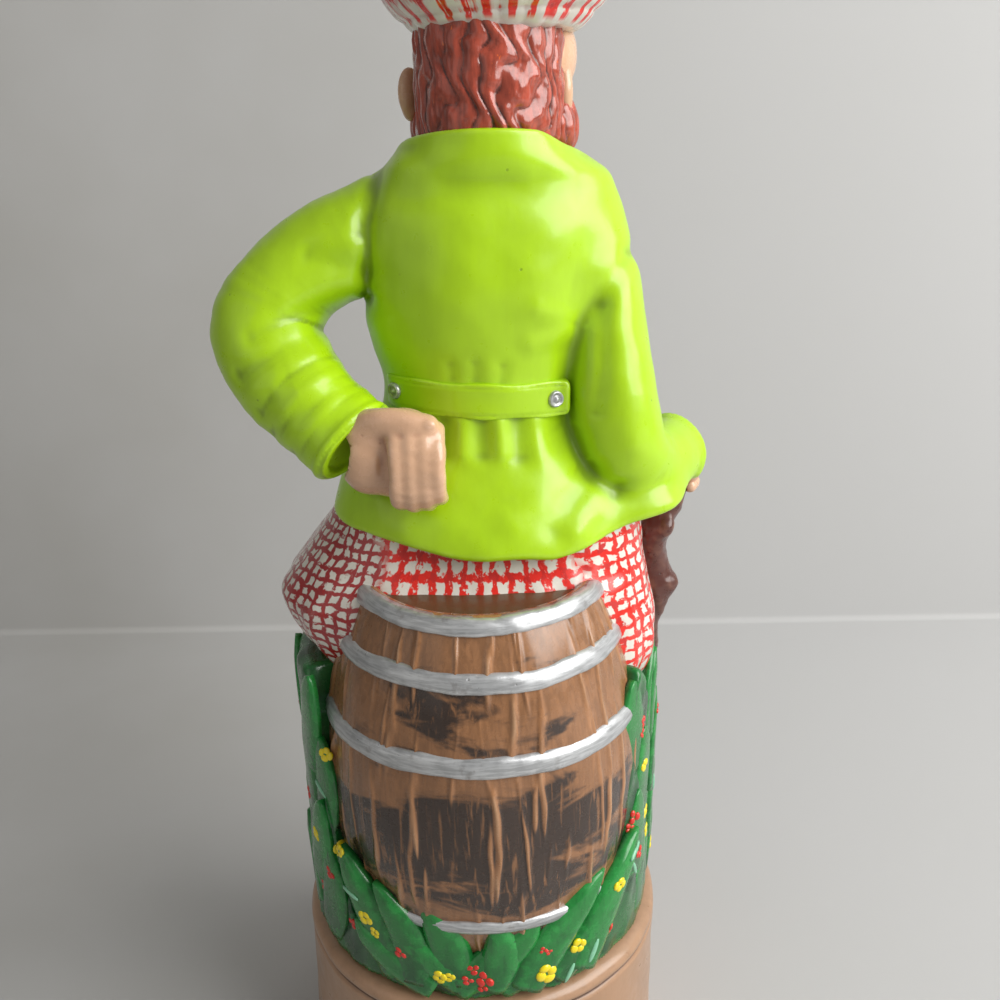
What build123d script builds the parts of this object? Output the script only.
from build123d import *
import math
import os

# A figural liquor decanter, in millimetres. Z is up, and the origin is the centre of the plinth's foot.
# The figure faces +Y, so its back, with the barrel, faces -Y. The head is the stopper and lifts along Z.
os.makedirs("parts", exist_ok=True)

# Plinth, which stands out round the grass bank
plinth_ledge = 2.5
plinth_height = 60.0
plinth_wall = 5.0
floor_thickness = 7.0
foot_round = 2.5
groove_drop = 6.0
groove_width = 1.8
groove_depth = 0.9
bead_round = 3.2
bead_curve_share = 1.3
crown_rise = 2.5
crown_inset = 9.0
chamber_drop = 4.0

# Barrel, flat at its front
barrel_x = 1.9
barrel_y = -14.7
barrel_height = 122.0
belly_radius = 48.8
barrel_foot_radius = 36.0
barrel_top_radius = 34.8
barrel_wall = 4.0
barrel_front = 24.0
lid_thickness = 4.0
lid_recess = 1.2
well_radius = 13.0

# Hoops, each with its height up the barrel as a share
hoop_thickness = 1.4
foot_hoop_width = 5.0
belly_hoop_width = 6.5
shoulder_hoop_width = 6.0
top_hoop_width = 5.0
foot_hoop_share = 0.212
belly_hoop_share = 0.659
shoulder_hoop_share = 0.850
top_hoop_share = 0.976

# Grass bank and its blades, round the barrel's belly
bank_cover = 8.7
bank_back = 36.0
bank_low_rise = 13.5
bank_slope_rise = 36.0
blade_length_share = 0.342
blade_width = 9.0
blade_thickness = 3.0
blade_sink = 1.0
blade_lean = 13.0
blade_belly_share = 0.42

# Kilt
kilt_drop = 22.5
kilt_height = 48.0
kilt_half_width = 57.0
kilt_half_depth = 40.0
kilt_y = 1.0
kilt_corner_share = 0.75
# height, width and depth
kilt_shares = (
    (0.00, 1.000, 1.000),
    (0.25, 1.005, 0.940),
    (0.44, 0.960, 0.810),
    (0.60, 0.810, 0.700),
    (0.75, 0.760, 0.660),
    (1.00, 0.720, 0.620),
)

# Jacket
jacket_overhang = 7.5
jacket_height = 110.0
jacket_x = 4.5
chest_half_width = 36.0
chest_half_depth = 27.0
# height, sideways, width and depth
jacket_shares = (
    (0.000, 0.95, 1.330, 1.150),
    (0.100, 0.80, 1.300, 1.150),
    (0.182, 0.60, 1.220, 1.090),
    (0.300, 0.70, 0.950, 0.940),
    (0.436, 0.90, 0.805, 0.890),
    (0.636, 1.10, 0.900, 1.000),
    (0.790, 1.10, 0.985, 0.980),
    (0.864, 1.15, 1.040, 0.925),
    (0.945, 1.25, 0.930, 0.860),
    (1.000, 1.40, 0.760, 0.810),
)

# Chamber in the kilt and jacket: its height, and its width and depth against the chest's
chamber_shares = (
    (0.00, 0.40, 0.40),
    (0.14, 0.82, 0.56),
    (0.38, 0.66, 0.56),
    (0.58, 0.56, 0.60),
    (0.82, 0.60, 0.66),
    (1.00, 0.34, 0.45),
)

# Sleeves: their places are sideways, forwards and above the barrel's top
sleeve_radius = 13.6
left_shoulder_place = (-20.0, -2.0, 98.5)
left_pull_place = (-91.5, -4.0, 72.5)
left_wrist_place = (-31.0, -26.5, 45.5)
right_shoulder_place = (31.0, 0.0, 99.5)
right_elbow_place = (43.5, -10.0, 35.5)
right_cuff_place = (64.0, 13.0, 26.5)
# place along the sleeve and width
left_sleeve_shares = ((0.0, 1.0), (0.25, 1.03), (0.5, 1.0), (0.75, 0.96), (1.0, 0.9))
right_upper_shares = ((0.0, 0.94), (0.5, 0.97), (1.0, 0.97))
right_lower_shares = ((0.0, 0.97), (0.5, 0.87), (1.0, 0.8))

# Hands, placed like the sleeves
fist_place = (-17.5, -31.0, 41.5)
fist_half_sizes = (12.0, 10.5, 13.0)
finger_half_sizes = (9.0, 5.0, 3.7)
thumb_half_sizes = (10.0, 5.0, 4.2)
grip_place = (69.5, 23.5, 24.5)
grip_half_sizes = (8.0, 9.0, 9.0)

# Half belt, buttons and front dress
trim_thickness = 1.3
belt_width = 10.5
belt_rise = 45.5
belt_end = 3.6
button_radius = 2.6
button_thickness = 1.6
button_spacing = 43.0
front_button_spacing = 13.0
shirt_half_width = 13.0
shirt_depth = 36.0
lapel_width = 9.0
lapel_drop = 7.0
lapel_notch_share = 0.6
sporran_half_sizes = (10.0, 6.0, 12.0)
sporran_share = 0.42
tassel_radius = 1.8
tassel_length = 12.0

# Legs, hose and shoes
leg_spacing = 30.0
leg_y = 32.9
knee_radius = 8.4
knee_length = 20.0
knee_sink = 3.0
hose_cuff_height = 7.0
hose_cuff_thickness = 1.3
# height up the hose and width against the knee
hose_shares = ((0.00, 0.72), (0.15, 0.74), (0.62, 1.02), (0.85, 0.98), (1.00, 0.96))
shoe_length = 24.0
shoe_width = 13.0
shoe_height = 9.0
shoe_toe_share = 0.12
shoe_turn = 11.0
# height, length and width
shoe_shares = ((0.0, 1.0, 1.0), (0.4, 1.0, 1.0), (1.0, 0.62, 0.86))

# Walking stick
stick_radius = 5.2
stick_foot_share = 0.8
stick_foot_y = 31.0
stick_top_x = 70.0
stick_top_y = 24.0
stick_rise = 38.0
# height, sideways, forward and width
stick_shares = (
    (0.00, 0.00, 0.00, 0.85),
    (0.17, 0.23, 0.60, 0.83),
    (0.36, 0.41, 1.20, 0.88),
    (0.55, 0.45, 1.50, 0.96),
    (0.62, 0.57, 1.40, 1.05),
    (0.71, 0.47, 1.40, 1.00),
    (0.83, 0.82, 1.20, 1.06),
    (0.91, 0.95, 1.00, 1.12),
    (1.00, 1.00, 1.00, 1.10),
)

# Neck, head and collar
neck_x = 6.7
bore_radius = 10.0
neck_wall = 3.6
neck_length = 31.0
rim_round = 1.2
seat_gap = 0.3
head_half_width = 20.6
head_half_depth = 22.5
head_height = 32.5
head_wall = 3.6
head_floor = 7.5
hair_depth = 1.6
# height, width and depth
head_shares = ((0.0, 0.85, 0.85), (0.12, 0.965, 0.955), (0.55, 1.0, 1.0), (1.0, 0.99, 0.985))
head_gap = 0.5
collar_rise = 7.6
collar_depth = 14.0
collar_wall = 1.6
collar_spread = 2.4
collar_slope = 0.30
throat_y = 12.0

# Face, turned from the front about Z
face_turn = -15.0
hairline_y = 6.0
ear_reach = 2.4
ear_half_depth = 4.4
ear_half_height = 6.6
ear_height_share = 0.50
nose_half_sizes = (3.2, 4.6, 5.0)
nose_height_share = 0.46
brow_half_sizes = (5.0, 2.4, 1.5)
brow_height_share = 0.74
eye_radius = 2.4
eye_spacing = 14.0
eye_height_share = 0.62
moustache_half_sizes = (6.8, 3.6, 2.5)
moustache_height_share = 0.31
moustache_spread_share = 0.8
beard_half_sizes = (21.5, 17.5, 13.0)
beard_place = (9.7, 8.6, 4.2)

# Hat
hat_x = 9.8
hat_radius = 32.6
hat_height = 28.5
hat_tilt = 2.5
hat_seat_share = 0.965
hat_band_share = 0.26
# height and radius of the outside
hat_shares = ((0.00, 0.70), (0.26, 0.88), (0.50, 1.00), (0.72, 0.94), (0.92, 0.66), (1.00, 0.30))
# height and radius of the hollow
hat_hollow_shares = ((0.02, 0.58), (0.26, 0.76), (0.50, 0.88), (0.70, 0.80), (0.86, 0.46))
pompom_radius = 6.8
pompom_sink = 2.6

# Cork
cork_clearance = 0.05
cork_length = 23.0
cork_chamfer = 1.2

# Room for cuts
overrun = 5.0
far = 500.0

plinth_top = plinth_height + crown_rise
barrel_top = plinth_top + barrel_height
lid_top = barrel_top - lid_recess
kilt_hem = barrel_top - kilt_drop
jacket_hem = barrel_top + jacket_overhang
shoulder_top = jacket_hem + jacket_height
neck_bottom = shoulder_top - neck_length
head_seat = shoulder_top + seat_gap
hat_seat = head_seat + head_height * hat_seat_share
neck_radius = bore_radius + neck_wall
bank_radius = belly_radius + bank_cover
plinth_radius = bank_radius + plinth_ledge
bank_low_top = plinth_top + bank_low_rise
blade_length = (kilt_hem - plinth_top) * blade_length_share
stick_length = barrel_height + stick_rise
stick_foot_x = plinth_radius * stick_foot_share
belt_height = jacket_hem + belt_rise


def raised(place, height):
    """A place with its height measured from another height."""
    return (place[0], place[1], place[2] + height)


left_shoulder = raised(left_shoulder_place, barrel_top)
left_elbow_pull = raised(left_pull_place, barrel_top)
left_wrist = raised(left_wrist_place, barrel_top)
right_shoulder = raised(right_shoulder_place, barrel_top)
right_elbow = raised(right_elbow_place, barrel_top)
right_cuff = raised(right_cuff_place, barrel_top)
fist_center = raised(fist_place, barrel_top)
grip_center = raised(grip_place, barrel_top)
beard_center = raised(beard_place, head_seat)


def form_of_ellipses(stations):
    """A closed form through level ellipses, each (height, centre x, centre y, half width, half depth)."""
    with BuildPart() as form:
        for height, x, y, half_width, half_depth in stations:
            with BuildSketch(Plane.XY.offset(height)):
                with Locations((x, y)):
                    Ellipse(half_width, half_depth)
        loft()
    return form.part


def limb_through(stations, straight=False):
    """A round limb through (point, radius) stations, its circles square to the path."""
    points = [Vector(*point) for point, _ in stations]
    with BuildPart() as limb:
        for index, (_, radius) in enumerate(stations):
            before = points[max(index - 1, 0)]
            after = points[min(index + 1, len(points) - 1)]
            along = (after - before).normalized()
            across = along.cross(Vector(0, 1, 0)).normalized()
            with BuildSketch(Plane(origin=points[index], x_dir=across, z_dir=along)):
                Circle(radius)
        loft(ruled=straight)
    return limb.part


def ellipsoid(center, half_sizes, turn=0.0):
    """A ball stretched to its half sizes, turned about Z and set at its centre."""
    with BuildPart() as ball:
        Sphere(half_sizes[0])
    stretch = (1, half_sizes[1] / half_sizes[0], half_sizes[2] / half_sizes[0])
    return Pos(*center) * Rot(0, 0, turn) * scale(ball.part, by=stretch, mode=Mode.PRIVATE)


def block_between(low, high):
    """A plain block between two opposite corners."""
    middle = [(a + b) / 2 for a, b in zip(low, high)]
    with BuildPart() as block:
        with Locations(tuple(middle)):
            Box(*[b - a for a, b in zip(low, high)])
    return block.part


def round_between(x, y, radius, low, high):
    """An upright cylinder between two heights."""
    with BuildPart() as post:
        with BuildSketch(Plane.XY.offset(low)):
            with Locations((x, y)):
                Circle(radius)
        extrude(amount=high - low)
    return post.part


def front_prism(points):
    """A prism over a face of (x, z) points, from the middle out through the front."""
    with BuildPart() as prism:
        with BuildSketch(Plane.XZ):
            with BuildLine():
                Polyline(*points, close=True)
            make_face()
        extrude(amount=-far)
    return prism.part


def curve_point(start, pull, end, share):
    """The point a share of the way along the curve from start to end that bends towards pull."""
    rest = 1 - share
    return tuple(
        rest * rest * a + 2 * rest * share * b + share * share * c for a, b, c in zip(start, pull, end)
    )


def skin_plane(form, x, height, facing):
    """The plane on a form's skin at a place, seen along Y from the back (-1) or the front (+1)."""
    hits = form.find_intersection_points(Axis((x, facing * far, height), (0, -facing, 0)))
    near = max(hits, key=lambda hit: facing * hit[0].Y)
    return Plane(origin=near[0], z_dir=near[1] if near[1].Y * facing > 0 else -near[1])


def write(piece, name):
    """Labels a finished piece and writes it to its own file."""
    piece.part.label = name
    export_step(piece.part, f"parts/{name}.step")


# Plinth: a hollow round pot with a bead at its shoulder and a hole up into the barrel.
crown_radius = plinth_radius - crown_inset
groove_low = plinth_height - groove_drop
groove_high = groove_low + groove_width
with BuildPart() as plinth:
    with BuildSketch(Plane.XZ):
        with BuildLine():
            Line((0, 0), (plinth_radius - foot_round, 0))
            RadiusArc((plinth_radius - foot_round, 0), (plinth_radius, foot_round), -foot_round)
            Line((plinth_radius, foot_round), (plinth_radius, groove_low))
            ThreePointArc(
                (plinth_radius, groove_low),
                (plinth_radius - groove_depth, (groove_low + groove_high) / 2),
                (plinth_radius, groove_high),
            )
            RadiusArc(
                (plinth_radius, groove_high),
                (plinth_radius - bead_round, plinth_height),
                -bead_round * bead_curve_share,
            )
            Line((plinth_radius - bead_round, plinth_height), (crown_radius, plinth_top))
            Line((crown_radius, plinth_top), (0, plinth_top))
            Line((0, plinth_top), (0, 0))
        make_face()
    revolve(axis=Axis.Z)
    with BuildSketch(Plane.XY.offset(floor_thickness)):
        Circle(plinth_radius - plinth_wall)
    extrude(amount=plinth_height - floor_thickness - chamber_drop, mode=Mode.SUBTRACT)
    with BuildSketch(Plane.XY.offset(plinth_top)):
        with Locations((barrel_x, barrel_y)):
            Circle(barrel_foot_radius - barrel_wall)
    extrude(amount=-(plinth_top - plinth_height / 2), mode=Mode.SUBTRACT)
write(plinth, "plinth")


def front_block(y_low):
    """Everything in front of a plane that faces +Y."""
    return block_between((-far, y_low, -far), (far, far, far))


def barrel_radius_at(height):
    """The barrel's outer radius at a height, on a circle through its foot, belly and top."""
    half = barrel_height / 2
    end = (barrel_foot_radius + barrel_top_radius) / 2
    rise = belly_radius - end
    arc = (half**2 + rise**2) / (2 * rise)
    return belly_radius - arc + math.sqrt(arc**2 - (height - plinth_top - half) ** 2)


barrel_plane = Plane(origin=(barrel_x, barrel_y, 0), x_dir=(1, 0, 0), z_dir=(0, -1, 0))
barrel_axis = Axis((barrel_x, barrel_y, 0), (0, 0, 1))


def barrel_form(inset, low, high):
    """The barrel's round form, less an inset and flat at the front, between two heights."""
    middle = (low + high) / 2
    with BuildPart() as form:
        with BuildSketch(barrel_plane):
            with BuildLine():
                side = ThreePointArc(
                    (barrel_radius_at(low) - inset, low),
                    (barrel_radius_at(middle) - inset, middle),
                    (barrel_radius_at(high) - inset, high),
                )
                Line(side @ 1, (0, high))
                Line((0, high), (0, low))
                Line((0, low), side @ 0)
            make_face()
        revolve(axis=barrel_axis)
        add(front_block(barrel_front - max(inset, 0)), mode=Mode.SUBTRACT)
    return form.part


barrel_outer = barrel_form(0, plinth_top, barrel_top)
barrel_solid = barrel_outer - barrel_form(barrel_wall, lid_top, barrel_top)

# Staves: the barrel's hollow wall, flat where the figure's legs hang against it.
with BuildPart() as barrel_staves:
    add(barrel_outer)
    add(barrel_form(barrel_wall, plinth_top, barrel_top), mode=Mode.SUBTRACT)
write(barrel_staves, "barrel_staves")

# Barrel head: the lid that the figure sits on, with the well that joins the two chambers.
well_core = round_between(neck_x, 0, well_radius, lid_top - lid_thickness - overrun, lid_top + overrun)
with BuildPart() as barrel_head:
    add(barrel_form(barrel_wall, lid_top - lid_thickness, lid_top))
    add(well_core, mode=Mode.SUBTRACT)
write(barrel_head, "barrel_head")

# Walking stick: gnarled, standing on the plinth beside the barrel.
stick_form = limb_through(
    [
        (
            (
                stick_foot_x + (stick_top_x - stick_foot_x) * sideways_share,
                stick_foot_y + (stick_top_y - stick_foot_y) * forward_share,
                plinth_top + stick_length * height_share,
            ),
            stick_radius * width_share,
        )
        for height_share, sideways_share, forward_share, width_share in stick_shares
    ],
    straight=True,
)
with BuildPart() as walking_stick:
    add(stick_form)
    add(block_between((-far, -far, -far), (far, far, plinth_top)), mode=Mode.SUBTRACT)
write(walking_stick, "walking_stick")

# Kilt: a skirt draped over the barrel's top edge.
with BuildPart() as kilt_form:
    for height_share, width_share, depth_share in kilt_shares:
        half_depth = kilt_half_depth * depth_share
        with BuildSketch(Plane.XY.offset(kilt_hem + kilt_height * height_share)):
            with Locations((jacket_x * height_share, kilt_y)):
                RectangleRounded(
                    2 * kilt_half_width * width_share,
                    2 * half_depth,
                    kilt_corner_share * half_depth,
                )
    loft()

# The chamber inside the kilt and the jacket, from the barrel's well up to the neck.
torso_chamber = form_of_ellipses(
    [
        (
            lid_top + (neck_bottom - lid_top) * height_share,
            neck_x,
            0,
            chest_half_width * width_share,
            chest_half_depth * depth_share,
        )
        for height_share, width_share, depth_share in chamber_shares
    ]
)
with BuildPart() as kilt:
    add(kilt_form.part)
    add(barrel_solid, mode=Mode.SUBTRACT)
    add(torso_chamber, mode=Mode.SUBTRACT)
    add(well_core, mode=Mode.SUBTRACT)
    add(stick_form, mode=Mode.SUBTRACT)
write(kilt, "kilt")

# Grass bank: the wall of grass round the barrel's sides, low at its back.
with BuildPart() as bank_form:
    with BuildSketch(Plane.XY.offset(plinth_top)):
        Circle(bank_radius)
    extrude(amount=kilt_hem - plinth_top)
    add(front_block(barrel_front), mode=Mode.SUBTRACT)
    with BuildSketch(Plane.YZ.offset(-far)):
        with BuildLine():
            Polyline(
                (-bank_back, kilt_hem + overrun),
                (-bank_back, bank_low_top + bank_slope_rise),
                (-bank_radius, bank_low_top),
                (-far, bank_low_top),
                (-far, kilt_hem + overrun),
                close=True,
            )
        make_face()
    extrude(amount=2 * far, mode=Mode.SUBTRACT)
with BuildPart() as grass_bank:
    add(bank_form.part)
    add(barrel_outer, mode=Mode.SUBTRACT)
    add(stick_form, mode=Mode.SUBTRACT)
write(grass_bank, "grass_bank")

# Hoops: four silver bands, each cut where the kilt and the grass cover it.
hoop_plan = (
    ("foot_hoop", foot_hoop_share, foot_hoop_width),
    ("belly_hoop", belly_hoop_share, belly_hoop_width),
    ("shoulder_hoop", shoulder_hoop_share, shoulder_hoop_width),
    ("top_hoop", top_hoop_share, top_hoop_width),
)
for name, center_share, width in hoop_plan:
    center_height = plinth_top + barrel_height * center_share
    with BuildPart() as hoop:
        add(barrel_form(-hoop_thickness, center_height - width / 2, center_height + width / 2))
        add(barrel_outer, mode=Mode.SUBTRACT)
        add(kilt_form.part, mode=Mode.SUBTRACT)
        add(bank_form.part, mode=Mode.SUBTRACT)
    write(hoop, name)

# Grass blades: pointed leaves leaning on the bank, in groups by side.
# group, first and last direction, how many, and their foot's height up the bank and length as shares
blade_plan = (
    ("left_blades", 154.0, 206.0, 6, (0.0, 0.30, 0.60), 1.0),
    ("right_blades", -26.0, 16.0, 6, (0.0, 0.30, 0.60), 1.0),
    ("back_blades", 221.0, 319.0, 9, (0.0,), 0.42),
)
for name, first_turn, last_turn, count, foot_shares, length_share in blade_plan:
    length = blade_length * length_share
    with BuildPart() as blades:
        for row, foot_share in enumerate(foot_shares):
            for index in range(count):
                turn = math.radians(first_turn + (last_turn - first_turn) * index / (count - 1))
                outward = Vector(math.cos(turn), math.sin(turn), 0)
                foot_height = plinth_top + (kilt_hem - plinth_top) * foot_share
                foot = outward * (bank_radius - blade_sink) + Vector(0, 0, foot_height)
                upright = Plane(origin=foot, x_dir=Vector(0, 0, 1).cross(outward), z_dir=outward)
                lean = blade_lean if (index + row) % 2 else -blade_lean
                belly = length * blade_belly_share
                with BuildSketch(upright.rotated((0, 0, lean))):
                    with BuildLine():
                        ThreePointArc((0, 0), (blade_width / 2, belly), (0, length))
                        ThreePointArc((0, length), (-blade_width / 2, belly), (0, 0))
                    make_face()
                extrude(amount=blade_thickness)
        add(bank_form.part, mode=Mode.SUBTRACT)
        add(barrel_outer, mode=Mode.SUBTRACT)
        add(stick_form, mode=Mode.SUBTRACT)
        add(kilt_form.part, mode=Mode.SUBTRACT)
        add(round_between(0, 0, plinth_radius, 0, plinth_top), mode=Mode.SUBTRACT)
    write(blades, name)


def jacket_form(grow):
    """The jacket's outer form, enlarged sideways by a distance."""
    return form_of_ellipses(
        [
            (
                jacket_hem + jacket_height * height_share,
                jacket_x * sideways_share,
                0,
                chest_half_width * width_share + grow,
                chest_half_depth * depth_share + grow,
            )
            for height_share, sideways_share, width_share, depth_share in jacket_shares
        ]
    )


# Jacket: a fitted back and chest over a skirt that flares round the kilt.
jacket_outer = jacket_form(0)
neck_core = round_between(neck_x, 0, neck_radius, neck_bottom, shoulder_top + overrun)
with BuildPart() as jacket:
    add(jacket_outer)
    add(kilt_form.part, mode=Mode.SUBTRACT)
    add(torso_chamber, mode=Mode.SUBTRACT)
    add(neck_core, mode=Mode.SUBTRACT)
    add(stick_form, mode=Mode.SUBTRACT)
write(jacket, "jacket")

# Neck tube: the pouring neck that the cork closes.
with BuildPart() as neck_tube:
    with BuildSketch(Plane.XY.offset(neck_bottom)):
        with Locations((neck_x, 0)):
            Circle(neck_radius)
            Circle(bore_radius, mode=Mode.SUBTRACT)
    extrude(amount=neck_length)
    fillet(neck_tube.edges().group_by(Axis.Z)[-1].sort_by(SortBy.RADIUS)[0], rim_round)
write(neck_tube, "neck_tube")


def head_form(grow):
    """The head's egg form with its hair, enlarged sideways by a distance."""
    return form_of_ellipses(
        [
            (
                head_seat + head_height * height_share,
                neck_x,
                0,
                head_half_width * width_share + grow,
                head_half_depth * depth_share + grow,
            )
            for height_share, width_share, depth_share in head_shares
        ]
    )


# Collar: turned up round the head's foot, higher at the back and open at the throat.
collar_top = head_seat + collar_rise
collar_outer = form_of_ellipses(
    [
        (collar_top + rise, neck_x, 0, head_half_width + spread, head_half_depth + spread)
        for rise, spread in (
            (-collar_depth, collar_wall + collar_spread),
            (-collar_depth / 2, collar_wall + collar_spread / 2),
            (overrun, collar_wall),
        )
    ]
)


def above_collar(lift):
    """Everything above the collar's sloping top, raised by a lift."""
    slope = Plane(origin=(neck_x, -head_half_depth, collar_top + lift), z_dir=(0, collar_slope, 1))
    with BuildPart() as block:
        with BuildSketch(slope):
            Rectangle(far, far)
        extrude(amount=far)
    return block.part


with BuildPart() as collar:
    add(collar_outer)
    add(head_form(head_gap), mode=Mode.SUBTRACT)
    add(above_collar(0), mode=Mode.SUBTRACT)
    add(front_block(throat_y), mode=Mode.SUBTRACT)
    add(jacket_outer, mode=Mode.SUBTRACT)
    add(neck_core, mode=Mode.SUBTRACT)
write(collar, "collar")

# Sleeves: the left one bends to the hand on the hip, and the right one reaches for the stick.
left_limb = limb_through(
    [
        (curve_point(left_shoulder, left_elbow_pull, left_wrist, place_share), sleeve_radius * width_share)
        for place_share, width_share in left_sleeve_shares
    ]
)


def straight_limb(start, end, limb_shares):
    """A straight limb between two points, with its width at shares of its length."""
    return limb_through(
        [
            (tuple(a + (b - a) * place_share for a, b in zip(start, end)), sleeve_radius * width_share)
            for place_share, width_share in limb_shares
        ]
    )


elbow_radius = sleeve_radius * right_lower_shares[0][1]
with BuildPart() as right_limb:
    add(straight_limb(right_shoulder, right_elbow, right_upper_shares))
    add(straight_limb(right_elbow, right_cuff, right_lower_shares))
    with Locations(right_elbow):
        Sphere(elbow_radius)
with BuildPart() as left_sleeve:
    add(left_limb)
    add(jacket_outer, mode=Mode.SUBTRACT)
write(left_sleeve, "left_sleeve")
with BuildPart() as right_sleeve:
    add(right_limb.part)
    add(jacket_outer, mode=Mode.SUBTRACT)
    add(kilt_form.part, mode=Mode.SUBTRACT)
    add(stick_form, mode=Mode.SUBTRACT)
write(right_sleeve, "right_sleeve")

# Hands: a closed fist on the hip, and a hand round the stick's top.
fist_x, fist_y, fist_z = fist_center
fist_half_width, fist_half_depth, fist_half_height = fist_half_sizes
with BuildPart() as fist_form:
    add(ellipsoid(fist_center, fist_half_sizes))
    for row_share in (-0.66, -0.22, 0.22, 0.66):
        finger_place = (
            fist_x + fist_half_width / 3,
            fist_y - fist_half_depth / 2,
            fist_z + fist_half_height * row_share,
        )
        add(ellipsoid(finger_place, finger_half_sizes))
    add(
        ellipsoid(
            (fist_x - fist_half_width / 6, fist_y - fist_half_depth / 3, fist_z + fist_half_height * 0.8),
            thumb_half_sizes,
        )
    )
with BuildPart() as left_fist:
    add(fist_form.part)
    add(left_limb, mode=Mode.SUBTRACT)
    add(jacket_outer, mode=Mode.SUBTRACT)
write(left_fist, "left_fist")
with BuildPart() as right_hand:
    add(ellipsoid(grip_center, grip_half_sizes))
    add(right_limb.part, mode=Mode.SUBTRACT)
    add(stick_form, mode=Mode.SUBTRACT)
    add(kilt_form.part, mode=Mode.SUBTRACT)
write(right_hand, "right_hand")

# Half belt across the back, with its two buttons.
belted_form = jacket_form(trim_thickness)
trim_skin = belted_form - jacket_outer
belt_half = button_spacing / 2 + belt_end
with BuildPart() as half_belt:
    add(trim_skin)
    add(
        block_between(
            (jacket_x - belt_half, -far, belt_height - belt_width / 2),
            (jacket_x + belt_half, 0, belt_height + belt_width / 2),
        ),
        mode=Mode.INTERSECT,
    )
    add(left_limb, mode=Mode.SUBTRACT)
    add(fist_form.part, mode=Mode.SUBTRACT)
    add(right_limb.part, mode=Mode.SUBTRACT)
write(half_belt, "half_belt")
with BuildPart() as belt_buttons:
    for side in (-1, 1):
        button_x = jacket_x + side * button_spacing / 2
        with BuildSketch(skin_plane(belted_form, button_x, belt_height, -1).offset(-trim_thickness)):
            Circle(button_radius)
        extrude(amount=trim_thickness + button_thickness)
    add(belted_form, mode=Mode.SUBTRACT)
    add(left_limb, mode=Mode.SUBTRACT)
    add(fist_form.part, mode=Mode.SUBTRACT)
    add(right_limb.part, mode=Mode.SUBTRACT)
write(belt_buttons, "belt_buttons")

# Front dress: a shirt in the open neck, lapels beside it and buttons below.
shirt_low = shoulder_top - shirt_depth
lapel_low = shirt_low - lapel_drop
lapel_notch = lapel_width * lapel_notch_share
shirt_prism = front_prism(
    [
        (neck_x - shirt_half_width, shoulder_top),
        (neck_x + shirt_half_width, shoulder_top),
        (neck_x, shirt_low),
    ]
)
lapel_prism = front_prism(
    [
        (neck_x - shirt_half_width - lapel_width, shoulder_top),
        (neck_x + shirt_half_width + lapel_width, shoulder_top),
        (neck_x + lapel_notch, shirt_low),
        (neck_x, lapel_low),
        (neck_x - lapel_notch, shirt_low),
    ]
)
with BuildPart() as shirt_front:
    add(trim_skin)
    add(shirt_prism, mode=Mode.INTERSECT)
    add(collar_outer, mode=Mode.SUBTRACT)
write(shirt_front, "shirt_front")
with BuildPart() as lapels:
    add(jacket_form(2 * trim_thickness))
    add(jacket_outer, mode=Mode.SUBTRACT)
    add(lapel_prism, mode=Mode.INTERSECT)
    add(shirt_prism, mode=Mode.SUBTRACT)
    add(collar_outer, mode=Mode.SUBTRACT)
write(lapels, "lapels")
with BuildPart() as front_buttons:
    for place in (0.6, 1.6, 2.6):
        button_height = lapel_low - front_button_spacing * place
        with BuildSketch(skin_plane(jacket_outer, neck_x, button_height, 1).offset(-button_thickness)):
            Circle(button_radius)
        extrude(amount=2 * button_thickness)
    add(jacket_outer, mode=Mode.SUBTRACT)
write(front_buttons, "front_buttons")

# Sporran: a pouch with three tassels on the front of the kilt.
sporran_z = kilt_hem + kilt_height * sporran_share
sporran_y = skin_plane(kilt_form.part, barrel_x, sporran_z, 1).origin.Y
with BuildPart() as sporran:
    add(ellipsoid((barrel_x, sporran_y, sporran_z), sporran_half_sizes))
    for side in (-1, 0, 1):
        tassel_x = barrel_x + side * sporran_half_sizes[0] / 2
        add(
            round_between(
                tassel_x,
                sporran_y + sporran_half_sizes[1] - tassel_radius / 2,
                tassel_radius,
                sporran_z - tassel_length,
                sporran_z,
            )
        )
    add(kilt_form.part, mode=Mode.SUBTRACT)
    add(jacket_outer, mode=Mode.SUBTRACT)
write(sporran, "sporran")

# Knees, hose with turned tops, and shoes, hanging in front of the barrel.
knee_top = kilt_hem + knee_sink
hose_top = kilt_hem - knee_length
shoe_top = plinth_top + shoe_height
with BuildPart() as knees:
    for side in (-1, 1):
        with BuildSketch(Plane.XY.offset(hose_top)):
            with Locations((barrel_x + side * leg_spacing / 2, leg_y)):
                Circle(knee_radius)
        extrude(amount=knee_top - hose_top)
    add(kilt_form.part, mode=Mode.SUBTRACT)
write(knees, "knees")
with BuildPart() as hose:
    for side in (-1, 1):
        leg_x = barrel_x + side * leg_spacing / 2
        add(
            form_of_ellipses(
                [
                    (
                        shoe_top + (hose_top - shoe_top) * height_share,
                        leg_x,
                        leg_y,
                        knee_radius * width_share,
                        knee_radius * width_share,
                    )
                    for height_share, width_share in hose_shares
                ]
            )
        )
        cuff_radius = knee_radius + hose_cuff_thickness
        add(round_between(leg_x, leg_y, cuff_radius, hose_top - hose_cuff_height, hose_top))
    add(barrel_outer, mode=Mode.SUBTRACT)
write(hose, "hose")
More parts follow.
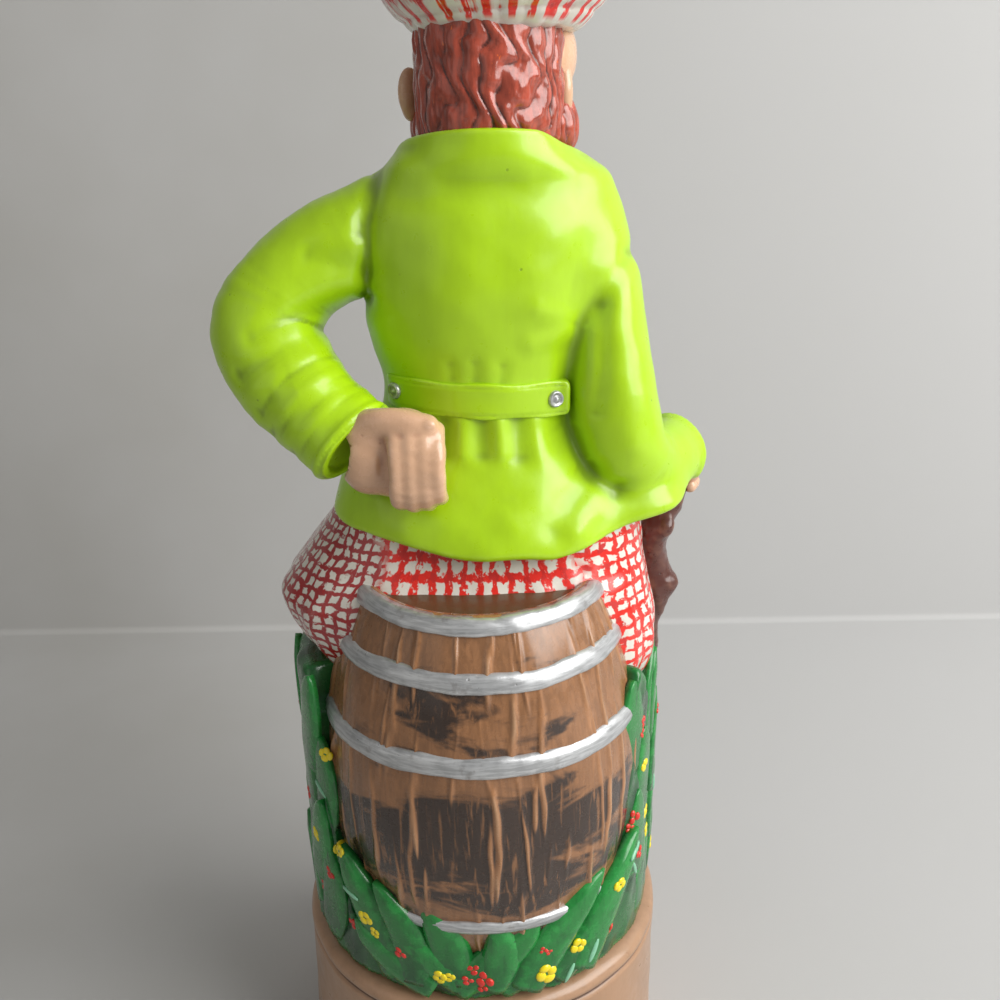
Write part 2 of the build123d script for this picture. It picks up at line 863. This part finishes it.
with BuildPart() as shoes:
    for side in (-1, 1):
        shoe_place = Plane(origin=(barrel_x + side * leg_spacing / 2, leg_y, plinth_top))
        add(
            shoe_place.rotated((0, 0, -side * shoe_turn)).location
            * form_of_ellipses(
                [
                    (
                        shoe_height * height_share,
                        0,
                        shoe_length * shoe_toe_share * length_share,
                        shoe_width / 2 * width_share,
                        shoe_length / 2 * length_share,
                    )
                    for height_share, length_share, width_share in shoe_shares
                ]
            )
        )
    add(barrel_outer, mode=Mode.SUBTRACT)
    add(grass_bank.part, mode=Mode.SUBTRACT)
write(shoes, "shoes")

# Head: the stopper's hollow core, open at its foot for the cork and at its top into the hat.
head_full = head_form(0)
head_core = head_form(-hair_depth)
head_hollow = head_form(-hair_depth - head_wall) & block_between(
    (-far, -far, head_seat + head_floor), (far, far, far)
)
cork_socket = round_between(neck_x, 0, bore_radius, head_seat - overrun, head_seat + head_floor)
face_plane = Plane(origin=(neck_x, 0, head_seat)).rotated((0, 0, face_turn))


def on_face(across, share):
    """A place on the face's skin, by its distance to the side and its share of the head's height."""
    start = face_plane.from_local_coords(Vector(across, 0, head_height * share))
    hits = head_core.find_intersection_points(Axis(start, face_plane.y_dir))
    near = max(hits, key=lambda hit: (hit[0] - start).dot(face_plane.y_dir))
    return tuple(near[0])


with BuildPart() as nose:
    add(ellipsoid(on_face(0, nose_height_share), nose_half_sizes, face_turn))
    add(head_core, mode=Mode.SUBTRACT)
with BuildPart() as head:
    add(head_core)
    add(nose.part)
    add(head_hollow, mode=Mode.SUBTRACT)
    add(cork_socket, mode=Mode.SUBTRACT)
write(head, "head")

# Eyes and brows, set on the face.
with BuildPart() as eyes:
    for side in (-1, 1):
        with Locations(on_face(side * eye_spacing / 2, eye_height_share)):
            Sphere(eye_radius)
    add(head.part, mode=Mode.SUBTRACT)
    add(head_hollow, mode=Mode.SUBTRACT)
write(eyes, "eyes")
with BuildPart() as brows:
    for side in (-1, 1):
        add(ellipsoid(on_face(side * eye_spacing / 2, brow_height_share), brow_half_sizes, face_turn))
    add(head.part, mode=Mode.SUBTRACT)
    add(eyes.part, mode=Mode.SUBTRACT)
    add(head_hollow, mode=Mode.SUBTRACT)
write(brows, "brows")

# Hair: a thick shell round the back of the head.
hairline = face_plane.offset(-far)
with BuildPart() as hair_side:
    with BuildSketch(hairline):
        with Locations((0, hairline_y - far / 2)):
            Rectangle(far, far)
    extrude(amount=2 * far)
with BuildPart() as hair:
    add(head_full)
    add(hair_side.part, mode=Mode.INTERSECT)
    add(head_core, mode=Mode.SUBTRACT)
write(hair, "hair")

# Ears: one on each side of the face.
with BuildPart() as ears:
    for side in (-1, 1):
        ear_place = face_plane.from_local_coords(Vector(0, hairline_y / 2, head_height * ear_height_share))
        outward = face_plane.x_dir * side
        with BuildSketch(Plane(origin=ear_place, x_dir=Vector(0, 0, 1), z_dir=outward)):
            Ellipse(ear_half_height, ear_half_depth)
        extrude(amount=head_half_width + ear_reach)
    add(head_full, mode=Mode.SUBTRACT)
write(ears, "ears")

# Beard and moustache: clear of the collar and the jacket, so that the head lifts straight out.
raised_jacket = Pos(0, 0, head_gap) * jacket_form(2 * trim_thickness + head_gap)
with BuildPart() as beard:
    add(ellipsoid(beard_center, beard_half_sizes))
    for side in (-1, 1):
        across = side * moustache_half_sizes[0] * moustache_spread_share
        add(ellipsoid(on_face(across, moustache_height_share), moustache_half_sizes, face_turn))
    add(above_collar(head_gap), mode=Mode.INTERSECT)
    add(raised_jacket, mode=Mode.SUBTRACT)
    add(block_between((-far, -far, -far), (far, far, head_seat)), mode=Mode.SUBTRACT)
    add(head_core, mode=Mode.SUBTRACT)
    add(hair.part, mode=Mode.SUBTRACT)
    add(nose.part, mode=Mode.SUBTRACT)
    add(ears.part, mode=Mode.SUBTRACT)
    add(round_between(neck_x, 0, bore_radius, 0, far), mode=Mode.SUBTRACT)
write(beard, "beard")


# Hat: a soft round cap with a gathered band and a ball on top, tilted to the left.
def hat_form(profile_shares):
    """The hat's round form through (height, radius) shares, tilted where it sits."""
    with BuildPart() as form:
        with BuildSketch(Plane.XZ):
            with BuildLine():
                outline = Spline(
                    *[
                        (hat_radius * radius_share, hat_height * height_share)
                        for height_share, radius_share in profile_shares
                    ]
                )
                Line(outline @ 1, (0, hat_height * profile_shares[-1][0]))
                Line(
                    (0, hat_height * profile_shares[-1][0]),
                    (0, hat_height * profile_shares[0][0]),
                )
                Line((0, hat_height * profile_shares[0][0]), outline @ 0)
            make_face()
        revolve(axis=Axis.Z)
    return hat_place * form.part


hat_place = Pos(hat_x, 0, hat_seat) * Rot(0, -hat_tilt, 0)
hat_outer = hat_form(hat_shares)
hat_hollow = hat_form(hat_hollow_shares)
band_zone = hat_place * block_between((-far, -far, -far), (far, far, hat_height * hat_band_share))
with BuildPart() as hat_band:
    add(hat_outer)
    add(band_zone, mode=Mode.INTERSECT)
    add(hat_hollow, mode=Mode.SUBTRACT)
    add(head_core, mode=Mode.SUBTRACT)
    add(hair.part, mode=Mode.SUBTRACT)
    add(head_hollow, mode=Mode.SUBTRACT)
write(hat_band, "hat_band")
with BuildPart() as hat_crown:
    add(hat_outer)
    add(band_zone, mode=Mode.SUBTRACT)
    add(hat_hollow, mode=Mode.SUBTRACT)
write(hat_crown, "hat_crown")
with BuildPart() as pompom:
    with Locations(hat_place * Pos(0, 0, hat_height + pompom_radius - pompom_sink)):
        Sphere(pompom_radius)
    add(hat_outer, mode=Mode.SUBTRACT)
write(pompom, "pompom")

# Cork: glued into the head's foot, with a running fit in the neck.
with BuildPart() as cork:
    with BuildSketch(Plane.XY.offset(head_seat)):
        with Locations((neck_x, 0)):
            Circle(bore_radius)
    extrude(amount=head_floor)
    with BuildSketch(Plane.XY.offset(head_seat)):
        with Locations((neck_x, 0)):
            Circle(bore_radius - cork_clearance)
    extrude(amount=-cork_length)
    chamfer(cork.edges().group_by(Axis.Z)[0], cork_chamfer)
write(cork, "cork")
